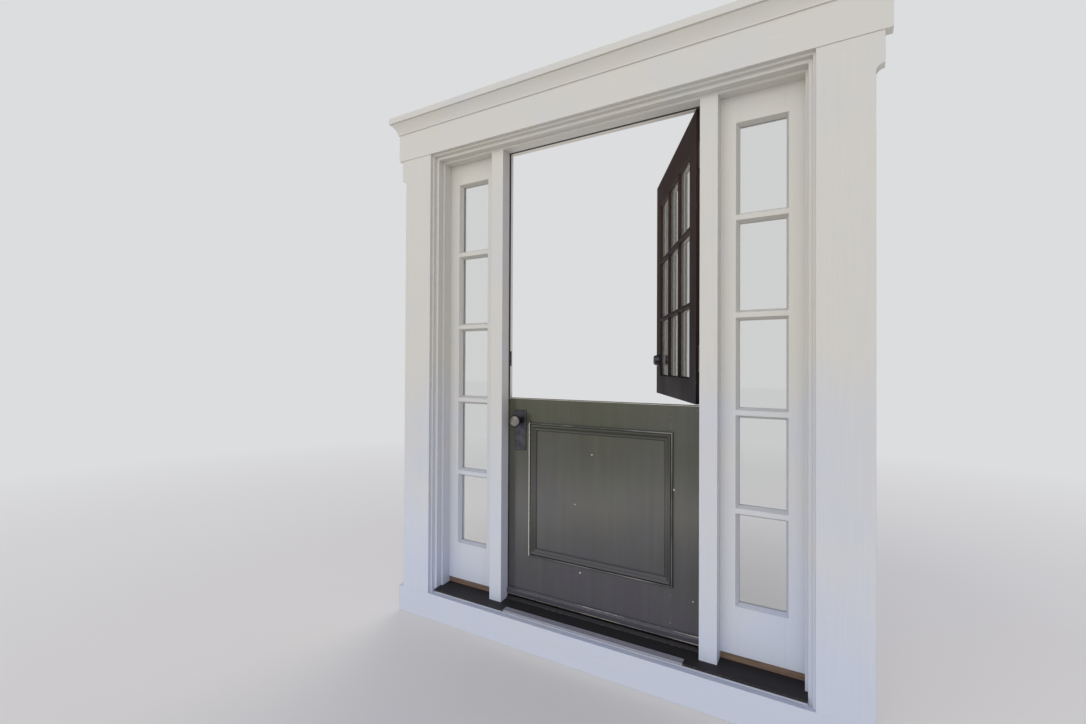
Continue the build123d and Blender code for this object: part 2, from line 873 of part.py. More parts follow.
# Upper leaf, built shut: three by three panes
upper_heights = (upper_bottom, upper_top)
upper_inner = leaf_half - upper_stile
light_bottom = upper_bottom + upper_bottom_rail
light_top = upper_top - upper_top_rail
light_width = (2 * upper_inner - (upper_columns - 1) * upper_bar) / upper_columns
light_height = (light_top - light_bottom - (upper_rows - 1) * upper_bar) / upper_rows
light_places = [
    (
        -upper_inner + light_width / 2 + i * (light_width + upper_bar),
        light_bottom + light_height / 2 + j * (light_height + upper_bar),
    )
    for i in range(upper_columns)
    for j in range(upper_rows)
]
leaf_glass = leaf_face + leaf_glass_inset
upper_whole = glazed_frame(
    box((-leaf_half, leaf_half), leaf_depths, upper_heights),
    leaf_face,
    leaf_glass,
    leaf_back,
    light_places,
    light_width,
    light_height,
    leaf_bevel,
)
inner_range = (-upper_inner, upper_inner)
shut = {}
shut["upper_hinge_stile"] = less(
    keep_between(upper_whole, (upper_inner, leaf_half), upper_heights),
    *hinge_mortises(leaf_plate_x, upper_hinges),
)
shut["upper_top_rail"] = keep_between(upper_whole, inner_range, (light_top, upper_top))
shut["upper_bottom_rail"] = keep_between(upper_whole, inner_range, (upper_bottom, light_bottom))
shut["upper_muntins"] = keep_between(upper_whole, inner_range, (light_bottom, light_top))
shut["upper_glass"] = panes(leaf_glass, light_places, light_width, light_height)
shut["upper_beads"] = beads(leaf_glass, light_places, light_width, light_height)
shut["upper_hinge_leaves"] = Compound([placed(leaf_half_hinge, 0, 0, z) for z in upper_hinges])

# Deadbolt: barrel and plate in the latch stile, collar outside, rose and turn inside
deadbolt_x = -leaf_half + deadbolt_backset
barrel_end = deadbolt_x - spindle_bore - barrel_wall
bolt_tip = -leaf_half + nose_recess
bolt_end = bolt_tip + deadbolt_length
deadbolt_block = joined(
    faceplate(deadbolt_height, deadbolt_faceplate),
    bar_along_x(
        deadbolt_radius + barrel_wall,
        (-leaf_half + faceplate_thickness, barrel_end),
        leaf_middle,
        deadbolt_height,
    ),
)
turn_hole = rod(spindle_bore, deadbolt_x, leaf_depths, deadbolt_height)
shut["upper_latch_stile"] = less(
    keep_between(upper_whole, (-leaf_half, -upper_inner), upper_heights), deadbolt_block, turn_hole
)
shut["deadbolt_case"] = less(
    deadbolt_block,
    bar_along_x(
        deadbolt_radius + running_clearance,
        (-leaf_half, bolt_end + loose_clearance),
        leaf_middle,
        deadbolt_height,
    ),
)
shut["deadbolt_bolt"] = bar_along_x(deadbolt_radius, (bolt_tip, bolt_end), leaf_middle, deadbolt_height)

with BuildPart() as collar_part:
    with BuildSketch(Plane.XY):
        with BuildLine():
            Polyline(
                (0, 0),
                (collar_radius, 0),
                (collar_radius, -collar_base),
                (collar_nose_radius, collar_chamfer - collar_projection),
                (collar_nose_radius - collar_chamfer, -collar_projection),
                (cylinder_radius + collar_chamfer, -collar_projection),
                (cylinder_radius, cylinder_recess - collar_projection),
                (0, cylinder_recess - collar_projection),
                close=True,
            )
        make_face()
    revolve(axis=Axis.Y)
collar_outside = placed(collar_part.part, deadbolt_x, leaf_face, deadbolt_height)
rose_inside = less(
    rod(collar_radius, deadbolt_x, (leaf_back, leaf_back + rose_thickness), deadbolt_height),
    rod(turn_shaft + running_clearance, deadbolt_x, (leaf_back, leaf_back + rose_thickness), deadbolt_height),
)
shut["deadbolt_roses"] = Compound([collar_outside, rose_inside])
turn_base = leaf_back + rose_thickness + loose_clearance
with BuildPart() as turn:
    with BuildSketch(across_wall(turn_base)):
        with Locations((deadbolt_x, deadbolt_height)):
            SlotOverall(turn_height, turn_thickness, rotation=90)
    extrude(amount=-turn_projection)
    add(rod(turn_shaft, deadbolt_x, (leaf_middle, turn_base), deadbolt_height))
shut["deadbolt_turn"] = turn.part

# Bolt that joins the two leaves, on the inside
bolt_x = -leaf_half + bolt_backset
bolt_y = leaf_back + bolt_stand_off
bolt_foot = upper_bottom + bolt_lift
guide_radius = bolt_radius + guide_wall
bolt_plate_foot = bolt_foot + bolt_lift
bolt_plate_top = bolt_plate_foot + bolt_plate_height


def guide(z_range, slack):
    """A block standing on a plate, bored for the rod."""
    block = joined(
        box((bolt_x - guide_radius, bolt_x + guide_radius), (leaf_back, bolt_y), z_range),
        post(guide_radius, bolt_x, bolt_y, z_range),
    )
    return less(block, post(bolt_radius + slack, bolt_x, bolt_y, z_range))


def bolt_plate(z_range):
    """The flat plate that a guide stands on."""
    half = bolt_plate_width / 2
    return box((bolt_x - half, bolt_x + half), (leaf_back, leaf_back + bolt_plate_thickness), z_range)


shut["leaf_bolt_plate"] = joined(
    bolt_plate((bolt_plate_foot, bolt_plate_top)),
    guide((bolt_plate_foot, bolt_plate_foot + guide_height), running_clearance),
    guide((bolt_plate_top - guide_height, bolt_plate_top), running_clearance),
)
peg_height = bolt_plate_top - guide_height - peg_radius - bolt_lift
shut["leaf_bolt"] = joined(
    post(bolt_radius, bolt_x, bolt_y, (bolt_foot, bolt_foot + bolt_length)),
    rod(peg_radius, bolt_x, (bolt_y, bolt_y + bolt_radius + peg_length), peg_height),
)
keeper_range = (split_height - keeper_drop - keeper_height, split_height - keeper_drop)
pieces["bolt_keeper"] = joined(bolt_plate(keeper_range), guide(keeper_range, keeper_slack))

# The upper leaf stands open
for name, shape in shut.items():
    pieces[name] = shape.rotate(hinge_axis, -open_angle)

for name, shape in pieces.items():
    shape.label = name
    export_step(shape, "parts/" + name + ".step")
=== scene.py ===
import math

import bmesh
import bpy
from mathutils import Matrix, Vector


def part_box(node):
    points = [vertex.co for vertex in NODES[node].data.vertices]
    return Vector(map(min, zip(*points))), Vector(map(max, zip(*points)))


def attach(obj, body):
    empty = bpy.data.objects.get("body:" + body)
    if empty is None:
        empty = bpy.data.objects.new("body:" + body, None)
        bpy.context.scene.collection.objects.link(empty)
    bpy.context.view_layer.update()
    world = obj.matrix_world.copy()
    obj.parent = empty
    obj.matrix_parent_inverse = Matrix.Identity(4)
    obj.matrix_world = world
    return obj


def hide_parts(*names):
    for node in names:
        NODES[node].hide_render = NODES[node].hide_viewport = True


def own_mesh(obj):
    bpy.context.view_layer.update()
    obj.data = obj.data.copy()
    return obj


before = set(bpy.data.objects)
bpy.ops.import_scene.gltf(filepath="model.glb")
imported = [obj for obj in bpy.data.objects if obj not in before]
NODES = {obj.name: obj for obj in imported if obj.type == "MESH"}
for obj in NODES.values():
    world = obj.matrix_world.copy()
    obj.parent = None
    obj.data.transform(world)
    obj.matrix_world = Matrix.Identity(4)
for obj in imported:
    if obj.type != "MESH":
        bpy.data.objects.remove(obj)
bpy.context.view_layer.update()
SCENE = bpy.context.scene

# Sizes and places, in metres, as in the part
MM = 0.001
OPEN_ANGLE = math.radians(62.2)
HINGE = Vector((458.7, 155.5, 0)) * MM
DOORWAY_HALF = 448.2 * MM
DOORWAY_HEIGHT = 2229 * MM
RABBET_HALF = 460.2 * MM
STOP_LIP = 12 * MM
STOP_BACK = 100 * MM
LEAF_HALF = 457.2 * MM
LEAF_FACE = 104 * MM
LEAF_BACK = 148.5 * MM
LEAF_MIDDLE = 126.25 * MM
KNOB_X = -381 * MM
KNOB_HEIGHT = 979 * MM
KNOB_PLATE_HEIGHT = 934.5 * MM
KNOB_PLATE_DEPTH = 5 * MM
DEADBOLT_X = -387.2 * MM
DEADBOLT_HEIGHT = 1265 * MM
COLLAR_DEPTH = 23 * MM
LOWER_HINGES = (353 * MM, 900 * MM)
UPPER_HINGES = (1263 * MM, 2058 * MM)

# Turns a place on the shut upper leaf to where the leaf stands open
OPENED = Matrix.Translation(HINGE) @ Matrix.Rotation(-OPEN_ANGLE, 4, "Z") @ Matrix.Translation(-HINGE)


def linear(hex_colour):
    """An sRGB hex colour as linear RGBA."""
    channels = [int(hex_colour[i : i + 2], 16) / 255 for i in (1, 3, 5)]
    return [c / 12.92 if c <= 0.04045 else ((c + 0.055) / 1.055) ** 2.4 for c in channels] + [1.0]


def add(owner, kind, inputs=None, **settings):
    """A node with its settings; inputs maps each socket to a value or to the output that feeds it."""
    tree = owner.node_tree
    node = tree.nodes.new("ShaderNode" + kind)
    for key, value in settings.items():
        setattr(node, key, value)
    for key, value in (inputs or {}).items():
        if isinstance(value, bpy.types.NodeSocket):
            tree.links.new(value, node.inputs[key])
        else:
            node.inputs[key].default_value = value
    return node


def ramp(owner, value, low, high, bottom=0.0, top=1.0):
    """A value stretched from one range to another and held at its ends."""
    limits = {"Value": value, "From Min": low, "From Max": high, "To Min": bottom, "To Max": top}
    return add(owner, "MapRange", limits).outputs[0]


def most(owner, masks):
    """The greatest of several masks."""
    greatest = masks[0]
    for mask in masks[1:]:
        greatest = add(owner, "Math", {0: greatest, 1: mask}, operation="MAXIMUM").outputs[0]
    return greatest


def away_from(owner, value, centre):
    """How far a value is from a centre, on either side."""
    off = add(owner, "Math", {0: value, 1: centre}, operation="SUBTRACT").outputs[0]
    return add(owner, "Math", {0: off}, operation="ABSOLUTE").outputs[0]


def arrises(owner, radius, samples, start, full, top=1.0):
    """A mask of the sharp edges, which rises as the surface bends from the start to the full value."""
    wide = add(owner, "Bevel", {"Radius": radius}, samples=samples).outputs[0]
    flat = add(owner, "NewGeometry").outputs["Normal"]
    bend = add(owner, "VectorMath", {0: wide, 1: flat}, operation="DOT_PRODUCT").outputs["Value"]
    return ramp(owner, bend, start, full, 0.0, top)


def start_material(name):
    """An empty material."""
    material = bpy.data.materials.new(name)
    material.use_nodes = True
    material.node_tree.nodes.clear()
    return material


def finish_material(material, surface):
    """Feeds a shader to the material's output."""
    add(material, "OutputMaterial", {"Surface": surface.outputs[0]})
    return material


# Camera at the photograph's place and angle
LENS = 17.14
SENSOR = 36.0
NEAREST = 50 * MM
CAMERA_PLACE = Vector((0.9345, -1.900, 1.230))
CAMERA_YAW = math.radians(30.86)
CAMERA_PITCH = math.radians(0.451)
CAMERA_ROLL = math.radians(0.267)


def make_camera():
    """The camera that took the photograph."""
    ahead = Vector(
        (
            -math.sin(CAMERA_YAW) * math.cos(CAMERA_PITCH),
            math.cos(CAMERA_YAW) * math.cos(CAMERA_PITCH),
            math.sin(CAMERA_PITCH),
        )
    )
    level = Vector((math.cos(CAMERA_YAW), math.sin(CAMERA_YAW), 0))
    upright = level.cross(ahead)
    right = math.cos(CAMERA_ROLL) * level + math.sin(CAMERA_ROLL) * upright
    up = math.cos(CAMERA_ROLL) * upright - math.sin(CAMERA_ROLL) * level
    data = bpy.data.cameras.new("camera")
    data.lens = LENS
    data.sensor_width = SENSOR
    data.clip_start = NEAREST
    camera = bpy.data.objects.new("camera", data)
    turn = Matrix((right, up, -ahead)).transposed()
    camera.matrix_world = Matrix.Translation(CAMERA_PLACE) @ turn.to_4x4()
    SCENE.collection.objects.link(camera)
    SCENE.camera = camera


make_camera()

# Paint: marks of the brush, cloudy patches, specks of wear 7 mm across, and long vertical bands of painted sheen.
# The specks are coarser than real ones, so that they show.
BRUSH_MARK = 3 * MM
BRUSH_LENGTH = 200 * MM
UPRIGHT = (BRUSH_MARK, BRUSH_MARK, BRUSH_LENGTH)
LEVEL = (BRUSH_LENGTH, BRUSH_MARK, BRUSH_MARK)
PATCH_SIZE = 400 * MM
SPECK_SIZE = 1 / 140
SHEEN_STREAK = (35 * MM, 35 * MM, 600 * MM)

# Bare wood and metal: grain along a strip, marks of the tool, and clouds that handling leaves, 22 mm across
WOOD_GRAIN = (120 * MM, 1.2 * MM, 1.2 * MM)
TOOL_MARK = 1.5 * MM
STAIN_SIZE = 1 / 45

# Glass and rubber: waves in a pane, its dust, 4 mm across so that it shows, and the marks of the die, 3 mm across
RIPPLE_SIZE = 1 / 7
DUST_SIZE = 1 / 260
DIE_MARK = 1 / 300

# Where most of a noise pattern's values lie
NOISE = (0.3, 0.7)

# Edges of painted boards
WORN_ARRIS = 2.2 * MM
SOFT_ARRIS = 1.6 * MM
BEAD_TOP = 1.2 * MM
# How far the painted shade in inner corners reaches
SHADE_REACH = 10 * MM
CHIP_RAG = 6 * MM
LINE_REACH = 1.45


def wear_and_highlights(m, place, apart, patches, speck, crest_highlight, wear, chips, lines):
    """Masks of where the paint is drawn paler: painted highlights on bead tops and along beads, and wear on arrises,
    knocks and rubbed edges.
    """
    depth = apart.outputs["Y"]
    masks = []
    # Painted highlight on the tops of the beads, broken up by the cloudy patches
    if crest_highlight is not None:
        bead = ramp(m, depth, crest_highlight, crest_highlight - BEAD_TOP, 0.0, 0.3)
        patchy = ramp(m, patches, 0.42, 0.6)
        masks.append(add(m, "Math", {0: bead, 1: patchy}, operation="MULTIPLY").outputs[0])
    if wear:
        rim = arrises(m, WORN_ARRIS, 6, 0.995, 0.93)
        patch = ramp(m, speck, 0.62 - 0.3 * wear, 0.72 - 0.3 * wear)
        masks.append(add(m, "Math", {0: rim, 1: patch}, operation="MULTIPLY").outputs[0])
    for centre, radius in chips:
        near = add(m, "VectorMath", {0: place, 1: centre}, operation="DISTANCE").outputs["Value"]
        ragged = add(m, "Math", {0: speck, 1: CHIP_RAG, 2: near}, operation="MULTIPLY_ADD").outputs[0]
        masks.append(add(m, "Math", {0: ragged, 1: radius + CHIP_RAG / 2}, operation="LESS_THAN").outputs[0])
    for axis, centre, half, front, least in lines:
        away = away_from(m, apart.outputs[axis], centre)
        ragged = add(m, "Math", {0: speck, 1: half, 2: away}, operation="MULTIPLY_ADD").outputs[0]
        reach = ramp(m, patches, 0.42, 0.58, LINE_REACH * least * half, LINE_REACH * half)
        band = add(m, "Math", {0: ragged, 1: reach}, operation="LESS_THAN").outputs[0]
        outside = add(m, "Math", {0: depth, 1: front}, operation="LESS_THAN").outputs[0]
        masks.append(add(m, "Math", {0: band, 1: outside}, operation="MULTIPLY").outputs[0])
    return masks


def painted_wood(
    name, top, low, paler_colour, stroke, turn=0.0, gloss=0.42, sheen=0.5, low_band=(0.0, 0.9), marked=0.02, wear=0.0,
    chips=(), lines=(), crest_highlight=None, corner_shade=0.0, lit_behind_seal=None, sheen_streaks=0.0,
):
    """Brushed enamel on wood: faint strokes along the board, greyer low down, rubbed through on its arrises.

    stroke gives the size of a brush mark along X, Y and Z, and turn is the board's angle about Z.
    low_band is the height below which the paint is as low, and the height above which it is as top.
    chips are (place, radius) of knocks. lines are (axis, place, half width, front, least) of rubbed edges
    and painted highlights along beads, where least is the share of its width that a line keeps where it is thinnest.
    crest_highlight is the depth outside which a bead's top gets a painted highlight, and corner_shade is how far
    painted shade darkens the inner corners.
    lit_behind_seal is (depth, back, colour) of the paint between the seal and the back, made lighter as painted light
    from the room.
    sheen_streaks is how far long vertical bands of painted sheen lighten or darken the paint.
    """
    m = start_material(name)
    place = add(m, "TexCoord").outputs["Object"]
    along = add(m, "Mapping", {"Vector": place, "Rotation": (0, 0, -turn), "Scale": stroke}, vector_type="TEXTURE")
    strokes = {"Vector": along.outputs[0], "Scale": 1.0, "Detail": 3.0, "Roughness": 0.6}
    clouds = {"Vector": place, "Scale": 1 / PATCH_SIZE, "Detail": 4.0, "Roughness": 0.6}
    specks = {"Vector": place, "Scale": 1 / SPECK_SIZE, "Detail": 2.0, "Roughness": 0.7}
    marks, patches, speck = (add(m, "TexNoise", inputs).outputs[0] for inputs in (strokes, clouds, specks))

    apart = add(m, "SeparateXYZ", {"Vector": place})
    lowness = ramp(m, apart.outputs["Z"], *low_band, 1.0, 0.0)
    uneven = ramp(m, patches, 0.35, 0.65, -0.2, 0.2)
    toward_low = add(m, "Math", {0: lowness, 1: uneven}, operation="ADD", use_clamp=True).outputs[0]
    colour = add(m, "Mix", {0: toward_low, 6: linear(top), 7: linear(low)}, data_type="RGBA").outputs[2]
    # Painted light: the paint between the seal and the back is lighter, as if lit from the room
    if lit_behind_seal:
        seal, back, lit_colour = lit_behind_seal
        behind = ramp(m, apart.outputs["Y"], seal, seal + MM)
        before = ramp(m, apart.outputs["Y"], back - MM, back)
        between = add(m, "Math", {0: behind, 1: before}, operation="SUBTRACT").outputs[0]
        colour = add(m, "Mix", {0: between, 6: colour, 7: linear(lit_colour)}, data_type="RGBA").outputs[2]

    shades = [ramp(m, marks, *NOISE, 1.0 - marked, 1.0 + marked)]
    # Painted sheen: long vertical bands that lighten or darken the colour in place of streaky reflections
    if sheen_streaks:
        down = add(m, "Mapping", {"Vector": place, "Scale": SHEEN_STREAK}, vector_type="TEXTURE").outputs[0]
        run = add(m, "TexNoise", {"Vector": down, "Scale": 1.0, "Detail": 3.0, "Roughness": 0.55}).outputs[0]
        shades.append(ramp(m, run, *NOISE, 1.0 - sheen_streaks, 1.0 + sheen_streaks))
    # Painted shade: ambient occlusion darkens the inner corners and recesses
    if corner_shade:
        sunk = add(m, "AmbientOcclusion", {"Distance": SHADE_REACH}, samples=8).outputs["AO"]
        shades.append(ramp(m, sunk, 0.45, 0.92, 1.0 - corner_shade, 1.0))
    for shade in shades:
        colour = add(m, "VectorMath", {0: colour, 3: shade}, operation="SCALE").outputs[0]

    masks = wear_and_highlights(m, place, apart, patches, speck, crest_highlight, wear, chips, lines)
    if masks:
        colour = add(m, "Mix", {0: most(m, masks), 6: colour, 7: linear(paler_colour)}, data_type="RGBA").outputs[2]
    dull = ramp(m, patches, *NOISE, gloss - 0.06, gloss + 0.08)
    soft = add(m, "Bevel", {"Radius": SOFT_ARRIS}, samples=4).outputs[0]
    ridges = add(m, "Bump", {"Strength": 0.25, "Distance": 0.2 * MM, "Height": marks, "Normal": soft}).outputs[0]
    look = {"Base Color": colour, "Roughness": dull, "Specular IOR Level": sheen, "Normal": ridges}
    return finish_material(m, add(m, "BsdfPrincipled", look))


# Trim: warm white enamel, brushed out, a little bluer and duller near the ground: painted bluish sky light on the low
# trim
TRIM = ("#CFCCC4", "#C2C8D7", "#8F8A82")
TRIM_LOW_BAND = (0.2, 1.4)
# Lighter paint behind the seal on the posts and head jamb: painted light from the room
BEHIND_SEAL = (STOP_BACK + MM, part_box("post_left")[1][1], "#F3EDE4")
trim_upright = painted_wood("brushed enamel on upright trim", *TRIM, UPRIGHT, low_band=TRIM_LOW_BAND)
trim_level = painted_wood("brushed enamel on level trim", *TRIM, LEVEL, low_band=TRIM_LOW_BAND)
post_paint = painted_wood("brushed enamel on the posts", *TRIM, UPRIGHT, low_band=TRIM_LOW_BAND, lit_behind_seal=BEHIND_SEAL)
# The head lining's lighter paint is painted light from the room on the strip above the upper leaf
lining_paint = painted_wood("brushed enamel on the head lining", "#EDE7DD", "#EDE7DD", "#8F8A82", LEVEL)
head_paint = painted_wood("brushed enamel on the head jamb", *TRIM, LEVEL, low_band=TRIM_LOW_BAND, lit_behind_seal=BEHIND_SEAL)

# Lower leaf: dark olive gloss enamel that mirrors the ground softly and is greyer low down
LOWER = ("#4A4B3C", "#47454D", "#B9B4A8")
# The mouldings take the leaf's paint made darker, as painted shade of their profile; their third colour is a painted
# highlight on the bead tops
MOULDING = ("#37382C", "#333139", "#B9B4A8")
DRIP = ("#47454B", "#47454D", "#98928A")
LOWER_GLOSS = {"gloss": 0.2, "low_band": (0.2, 1.08), "marked": 0.05}

# Knocks on the outside of the lower leaf
LOWER_CHIPS = (
    (Vector((-22, 112, 851)) * MM, 3.5 * MM),
    (Vector((-102, 112, 627)) * MM, 3 * MM),
    (Vector((-72, 104, 339)) * MM, 4 * MM),
    (Vector((337, 104, 748)) * MM, 3.5 * MM),
    (Vector((412, 104, 329)) * MM, 3 * MM),
    (Vector((-375, 104, 197)) * MM, 4 * MM),
)

# Light lines: the leaf's top, rubbed; the left bead of its moulding, a painted highlight; and the foot and top of the
# drip strip
LEFT_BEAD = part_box("panel_mouldings")[0][0] + 3.5 * MM
DRIP_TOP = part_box("drip_strip")[1][2]
DRIP_FOOT_EDGE = 175 * MM
LEAF_TOP_EDGE = 1079 * MM
BEAD_CREST = 97 * MM
DRIP_FACE = 100 * MM
FACE_EDGE = 106 * MM
DRIP_LINES = (("Z", DRIP_FOOT_EDGE, 2.6 * MM, DRIP_FACE, 0.45), ("Z", DRIP_TOP - 2 * MM, 2 * MM, DRIP_FACE, 0.1))
# The lower leaf's boards: wear and knocks, with painted shade in the corners and painted sheen in long bands
BOARD_WEAR_AND_PAINTED_LIGHT = LOWER_GLOSS | {
    "wear": 0.15, "corner_shade": 0.5, "chips": LOWER_CHIPS, "sheen_streaks": 0.08,
    "lines": (("Z", LEAF_TOP_EDGE, 1.5 * MM, FACE_EDGE, 0.8),),
}
moulding_paint = painted_wood(
    "gloss enamel on the panel mouldings", *MOULDING, LEVEL, crest_highlight=BEAD_CREST, corner_shade=0.85,
    # The light line along the left bead is a painted highlight
    lines=(("X", LEFT_BEAD, 2.8 * MM, BEAD_CREST, 1.0),), **LOWER_GLOSS,
)
lower_upright = painted_wood("gloss enamel on the lower leaf's uprights", *LOWER, UPRIGHT, **BOARD_WEAR_AND_PAINTED_LIGHT)
lower_level = painted_wood("gloss enamel on the lower leaf's rails", *LOWER, LEVEL, **BOARD_WEAR_AND_PAINTED_LIGHT)
drip_paint = painted_wood(
    "gloss enamel on the drip strip", *DRIP, LEVEL, wear=0.5, lines=DRIP_LINES, **LOWER_GLOSS
)

# Upper leaf: dark brown satin enamel that hardly shines, with three knocks
UPPER = ("#3A2D29", "#19151A", "#8C847A")
UPPER_WEAR_AND_PAINTED_SHADE = {"gloss": 0.5, "sheen": 0.1, "low_band": (1.05, 1.95), "marked": 0.06, "wear": 0.15, "corner_shade": 0.5}
UPPER_CHIPS = (
    (Vector((416.3, 125.5, 2053.7)) * MM, 3 * MM),
    (Vector((358.6, 234.9, 1365)) * MM, 3 * MM),
    (Vector((421.4, 115.8, 1402.9)) * MM, 3 * MM),
)
upper_upright = painted_wood(
    "satin enamel on the upper leaf's uprights", *UPPER, UPRIGHT, chips=UPPER_CHIPS, **UPPER_WEAR_AND_PAINTED_SHADE
)
upper_level = painted_wood(
    "satin enamel on the upper leaf's rails", *UPPER, LEVEL, turn=-OPEN_ANGLE, **UPPER_WEAR_AND_PAINTED_SHADE
)

# Glazing beads in the same enamel as the trim, yellowed; sill in dull deck paint, dusty and scuffed on its edges
bead_paint = painted_wood(
    "warm white enamel on the glazing beads", "#C9BFAE", "#BDB3A4", "#8F8A82", UPRIGHT, low_band=(1.0, 1.6)
)
sill_paint = painted_wood(
    "dark deck paint on the sill", "#272528", "#211F22", "#6A625C", LEVEL, gloss=0.55, sheen=0.3,
    low_band=(0.13, 0.17), marked=0.12, wear=0.4,
)


def weathered_wood():
    """Bare softwood strip: brown with darker grain along it, dry and dull."""
    m = start_material("bare weathered softwood")
    place = add(m, "TexCoord").outputs["Object"]
    along = add(m, "Mapping", {"Vector": place, "Scale": WOOD_GRAIN}, vector_type="TEXTURE").outputs[0]
    grain = add(m, "TexNoise", {"Vector": along, "Scale": 1.0, "Detail": 5.0, "Roughness": 0.65}).outputs[0]
    tone = ramp(m, grain, *NOISE)
    colour = add(m, "Mix", {0: tone, 6: linear("#4E3D34"), 7: linear("#8A7260")}, data_type="RGBA").outputs[2]
    bump = add(m, "Bump", {"Strength": 0.6, "Distance": 0.4 * MM, "Height": grain}).outputs[0]
    return finish_material(m, add(m, "BsdfPrincipled", {"Base Color": colour, "Roughness": 0.75, "Normal": bump}))


def worked_metal(
    name, colour, paler_colour, rough, wear=0.4, brushed=(TOOL_MARK, TOOL_MARK, TOOL_MARK), handled=None, bare=1.0, ribs=None
):
    """Metal with faint tool marks, cloudy with handling and brighter on its rubbed edges.

    brushed gives the size of a tool mark along X, Y and Z.
    handled is (centre, radius, depth) of a disc along the wall that hands keep bright outside that depth from the
    leaf's middle; the rest is tarnished.
    bare is how much of the metal shows, the rest being weathered to a dull grey.
    ribs is (depth, pitch) of ribs whose tops feet rub bright.
    """
    m = start_material(name)
    place = add(m, "TexCoord").outputs["Object"]
    drawn = add(m, "Mapping", {"Vector": place, "Scale": brushed}, vector_type="TEXTURE").outputs[0]
    marks = add(m, "TexNoise", {"Vector": drawn, "Scale": 1.0, "Detail": 4.0, "Roughness": 0.6}).outputs[0]
    clouds = {"Vector": place, "Scale": 1 / STAIN_SIZE, "Detail": 3.0, "Roughness": 0.6}
    stains = add(m, "TexNoise", clouds).outputs[0]
    depth = add(m, "SeparateXYZ", {"Vector": place}).outputs["Y"]
    if ribs:
        front, pitch = ribs
        into = add(m, "Math", {0: depth, 1: front}, operation="SUBTRACT").outputs[0]
        count = add(m, "Math", {0: into, 1: pitch}, operation="DIVIDE").outputs[0]
        part_way = add(m, "Math", {0: count}, operation="FRACT").outputs[0]
        rubbed = ramp(m, away_from(m, part_way, 0.5), 0.3, 0.16, 0.0, wear)
    else:
        rubbed = most(m, [arrises(m, TOOL_MARK, 4, 0.99, 0.9, wear), ramp(m, stains, 0.4, 0.75, 0.0, wear)])
    tone = add(m, "Mix", {0: rubbed, 6: linear(colour), 7: linear(paler_colour)}, data_type="RGBA").outputs[2]
    if handled:
        centre, radius, bright = handled
        across = add(m, "VectorMath", {0: place, 1: (1, 0, 1)}, operation="MULTIPLY").outputs[0]
        off = add(m, "VectorMath", {0: across, 1: centre}, operation="DISTANCE").outputs["Value"]
        beside = ramp(m, off, radius - MM, radius + MM)
        behind = ramp(m, away_from(m, depth, LEAF_MIDDLE), bright + MM, bright - MM)
        tarnish = most(m, [beside, behind])
        tone = add(m, "Mix", {0: tarnish, 6: tone, 7: linear("#2C2B2C")}, data_type="RGBA").outputs[2]
    dull = ramp(m, stains, *NOISE, rough - 0.08, rough + 0.1)
    bump = add(m, "Bump", {"Strength": 0.2, "Distance": 0.1 * MM, "Height": marks}).outputs[0]
    look = {"Base Color": tone, "Metallic": bare, "Roughness": dull, "Normal": bump}
    return finish_material(m, add(m, "BsdfPrincipled", look))


def clear_glass():
    """Float glass: clear with a faint grey body and a thin film of dust."""
    m = start_material("clear float glass")
    place = add(m, "TexCoord").outputs["Object"]
    ripple = add(m, "TexNoise", {"Vector": place, "Scale": 1 / RIPPLE_SIZE, "Detail": 1.0}).outputs[0]
    specks = {"Vector": place, "Scale": 1 / DUST_SIZE, "Detail": 3.0, "Roughness": 0.7}
    film = ramp(m, add(m, "TexNoise", specks).outputs[0], 0.45, 0.8, 0.0, 0.06)
    bump = add(m, "Bump", {"Strength": 0.08, "Distance": 0.6 * MM, "Height": ripple}).outputs[0]
    look = {
        "Base Color": linear("#E9EAE8"), "Roughness": film, "IOR": 1.52, "Transmission Weight": 1.0, "Normal": bump
    }
    return finish_material(m, add(m, "BsdfPrincipled", look))


def dark_rubber():
    """Extruded rubber seal: dull brown-black with fine marks of the die."""
    m = start_material("extruded dark rubber")
    place = add(m, "TexCoord").outputs["Object"]
    marks = add(m, "TexNoise", {"Vector": place, "Scale": 1 / DIE_MARK, "Detail": 2.0}).outputs[0]
    tone = ramp(m, marks, *NOISE)
    colour = add(m, "Mix", {0: tone, 6: linear("#231E1D"), 7: linear("#332C2A")}, data_type="RGBA").outputs[2]
    bump = add(m, "Bump", {"Strength": 0.3, "Distance": 0.2 * MM, "Height": marks}).outputs[0]
    return finish_material(m, add(m, "BsdfPrincipled", {"Base Color": colour, "Roughness": 0.7, "Normal": bump}))


bare_wood = weathered_wood()
glass = clear_glass()
rubber = dark_rubber()

# Bronze darkened almost to black, pewter that hands keep bright on the knob's face, satin steel, and a nosing of
# aluminium gone dull between ribs that feet rub bright
dark_bronze = worked_metal("darkened bronze", "#3C3E44", "#77757A", 0.4)
pewter = worked_metal(
    "aged pewter", "#6A6864", "#A09C96", 0.34, wear=0.5,
    handled=(Vector((KNOB_X, 0, KNOB_HEIGHT)), 24 * MM, 73 * MM),
)
steel = worked_metal("brushed steel", "#B4B1AC", "#D8D6D2", 0.34)
nosing_metal = worked_metal(
    "weathered ribbed aluminium", "#37363C", "#A2A2B0", 0.5, wear=0.9, brushed=(50 * MM, MM, MM), bare=0.3,
    ribs=(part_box("sill_nosing")[0][1] + 2 * MM, 5.2 * MM),
)

